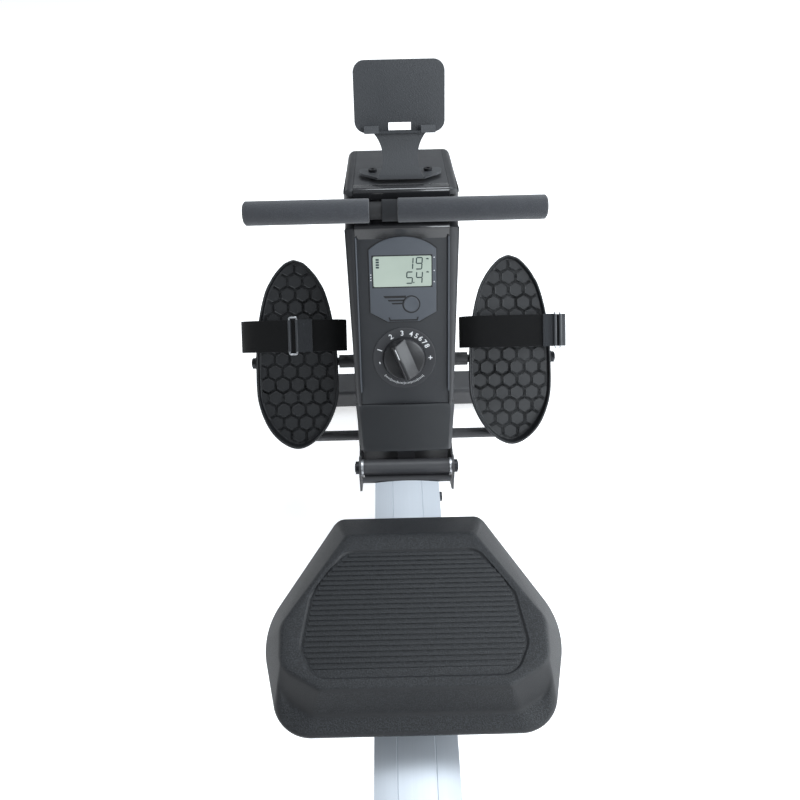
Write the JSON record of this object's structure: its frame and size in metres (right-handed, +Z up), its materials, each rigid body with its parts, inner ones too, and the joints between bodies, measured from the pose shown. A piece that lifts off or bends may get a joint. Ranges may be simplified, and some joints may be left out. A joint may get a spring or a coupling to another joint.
{
  "type": "rowing machine",
  "caption": "Folding magnetic rowing machine: sliding padded seat on an aluminium rail, pivoting foot plates with straps, pull handle on a recoiling belt, tension knob and small computer.",
  "frame": {"origin": "on the floor under the middle of the machine's box", "axes": "+Z up, +Y along the rail towards the flywheel housing, +X to the right of someone who sits on the seat and faces the housing"},
  "size_m": [0.483, 1.811, 0.689],
  "materials": {
    "black_steel": "satin black powder coat",
    "black_plastic": "fine-grained moulding",
    "gloss_black": "polished moulding",
    "lcd_glass": "grey-green display",
    "bright_steel": "zinc plated",
    "cast_iron": "machined",
    "pedal_plastic": "textured moulding",
    "webbing": "woven nylon",
    "rubber": "matt",
    "foam": "soft foam sleeve",
    "aluminium": "silver anodised",
    "seat_skin": "pebbled moulded skin"
  },
  "bodies": {
    "frame": {"main_frame": "black_steel", "front_stabilizer": "black_steel", "mid_foot": "black_steel", "floor_caps": "black_plastic", "wheel_bolts": "bright_steel", "housing_left": "black_plastic", "housing_right": "black_plastic", "console_panel": "black_plastic", "hinge_cover": "black_plastic", "handle_cradle": "gloss_black", "phone_holder": "black_steel", "phone_holder_screws": "bright_steel", "computer_case": "black_plastic", "computer_lcd": "lcd_glass", "dial_plate": "gloss_black", "tension_controller": "black_plastic", "tension_cable": "rubber", "heel_rest_bar": "black_steel", "pedal_axle": "bright_steel", "pedal_nuts": "bright_steel", "flywheel_axle": "bright_steel", "drive_belt": "rubber", "spring_case": "black_plastic", "pull_belt": "webbing", "pivot_bolt": "bright_steel", "pivot_washers": "bright_steel"},
    "rail": {"rail": "aluminium", "rail_bracket": "black_steel", "rail_bolts": "bright_steel", "rail_end_cap": "black_plastic", "seat_stops": "rubber", "rear_foot": "black_steel"},
    "seat": {"seat_pad": "seat_skin", "seat_carriage": "black_steel", "roller_bolts": "bright_steel"},
    "front_rollers": {"front_rollers": "pedal_plastic"},
    "rear_rollers": {"rear_rollers": "pedal_plastic"},
    "keeper_rollers": {"keeper_rollers": "pedal_plastic"},
    "handle": {"handlebar": "black_steel", "grip_left": "foam", "grip_right": "foam", "belt_loop": "webbing"},
    "spool": {"spool": "black_plastic", "drive_axle": "bright_steel"},
    "drive_pulley": {"drive_pulley": "black_plastic"},
    "flywheel": {"flywheel": "cast_iron"},
    "guide_roller": {"guide_roller": "black_plastic"},
    "magnet_bracket": {"magnet_bracket": "bright_steel", "magnets": "cast_iron"},
    "resistance_knob": {"resistance_knob": "gloss_black"},
    "reset_button": {"reset_button": "black_plastic"},
    "pedal_left": {"pedal_left": "pedal_plastic", "strap_left": "webbing", "strap_ring_left": "bright_steel"},
    "pedal_right": {"pedal_right": "pedal_plastic", "strap_right": "webbing", "strap_ring_right": "bright_steel"},
    "transport_wheel_left": {"transport_wheel_left": "rubber"},
    "transport_wheel_right": {"transport_wheel_right": "rubber"},
    "lock_pin": {"lock_pin": "bright_steel"}
  },
  "joints": [
    {"name": "rail_fold", "type": "hinge", "parent": "frame", "child": "rail", "pos_m": [0, 0.467, 0.227], "axis": [-1, 0, 0], "range_deg": [0, 80]},
    {"name": "seat_slide", "type": "slide", "parent": "rail", "child": "seat", "axis": [0, -1, 0], "range_m": [0, 0.925]},
    {"name": "front_roller_spin", "type": "hinge", "parent": "seat", "child": "front_rollers", "pos_m": [0, 0.283, 0.2392], "axis": [1, 0, 0], "continuous": true},
    {"name": "rear_roller_spin", "type": "hinge", "parent": "seat", "child": "rear_rollers", "pos_m": [0, 0.149, 0.2392], "axis": [1, 0, 0], "continuous": true},
    {"name": "keeper_roller_spin", "type": "hinge", "parent": "seat", "child": "keeper_rollers", "pos_m": [0, 0.216, 0.1617], "axis": [1, 0, 0], "continuous": true},
    {"name": "handle_pull", "type": "slide", "parent": "frame", "child": "handle", "axis": [0, -1, 0], "range_m": [0, 1.1]},
    {"name": "spool_spin", "type": "hinge", "parent": "frame", "child": "spool", "pos_m": [0, 0.719, 0.44], "axis": [1, 0, 0], "continuous": true},
    {"name": "guide_roller_spin", "type": "hinge", "parent": "frame", "child": "guide_roller", "pos_m": [0, 0.674, 0.5279], "axis": [1, 0, 0], "continuous": true},
    {"name": "flywheel_spin", "type": "hinge", "parent": "frame", "child": "flywheel", "pos_m": [0, 0.772, 0.24], "axis": [1, 0, 0], "continuous": true},
    {"name": "drive_pulley_spin", "type": "hinge", "parent": "frame", "child": "drive_pulley", "pos_m": [0, 0.719, 0.44], "axis": [1, 0, 0], "continuous": true},
    {"name": "resistance_knob_turn", "type": "hinge", "parent": "frame", "child": "resistance_knob", "pos_m": [0, 0.54144, 0.36338], "axis": [0, 0.9135, -0.4067], "range_deg": [-48, 83]},
    {"name": "magnet_swing", "type": "hinge", "parent": "frame", "child": "magnet_bracket", "pos_m": [0, 0.75768, 0.37625], "axis": [1, 0, 0], "range_deg": [-3, 4.1]},
    {"name": "reset_button_press", "type": "slide", "parent": "frame", "child": "reset_button", "axis": [0, 0.9135, -0.4067], "range_m": [0, 0.0015], "stiffness_N_per_m": 400},
    {"name": "pedal_left_pivot", "type": "hinge", "parent": "frame", "child": "pedal_left", "pos_m": [0, 0.643, 0.272], "axis": [-1, 0, 0], "range_deg": [0, 35]},
    {"name": "pedal_right_pivot", "type": "hinge", "parent": "frame", "child": "pedal_right", "pos_m": [0, 0.643, 0.272], "axis": [-1, 0, 0], "range_deg": [0, 35]},
    {"name": "wheel_left_spin", "type": "hinge", "parent": "frame", "child": "transport_wheel_left", "pos_m": [0, 0.8855, 0.024], "axis": [1, 0, 0], "continuous": true},
    {"name": "wheel_right_spin", "type": "hinge", "parent": "frame", "child": "transport_wheel_right", "pos_m": [0, 0.8855, 0.024], "axis": [1, 0, 0], "continuous": true},
    {"name": "lock_pin_slide", "type": "slide", "parent": "frame", "child": "lock_pin", "axis": [0, 0, 1], "range_m": [0, 0.012]}
  ],
  "couplings": [
    {"joint": "front_roller_spin", "follows": "seat_slide", "rad_per_m": 55.556},
    {"joint": "rear_roller_spin", "follows": "seat_slide", "rad_per_m": 55.556},
    {"joint": "keeper_roller_spin", "follows": "seat_slide", "rad_per_m": -83.333},
    {"joint": "spool_spin", "follows": "handle_pull", "rad_per_m": 32.154},
    {"joint": "guide_roller_spin", "follows": "handle_pull", "rad_per_m": 72.464},
    {"joint": "drive_pulley_spin", "follows": "flywheel_spin", "ratio": 0.28226},
    {"joint": "magnet_swing", "follows": "resistance_knob_turn", "ratio": 0.048}
  ]
}
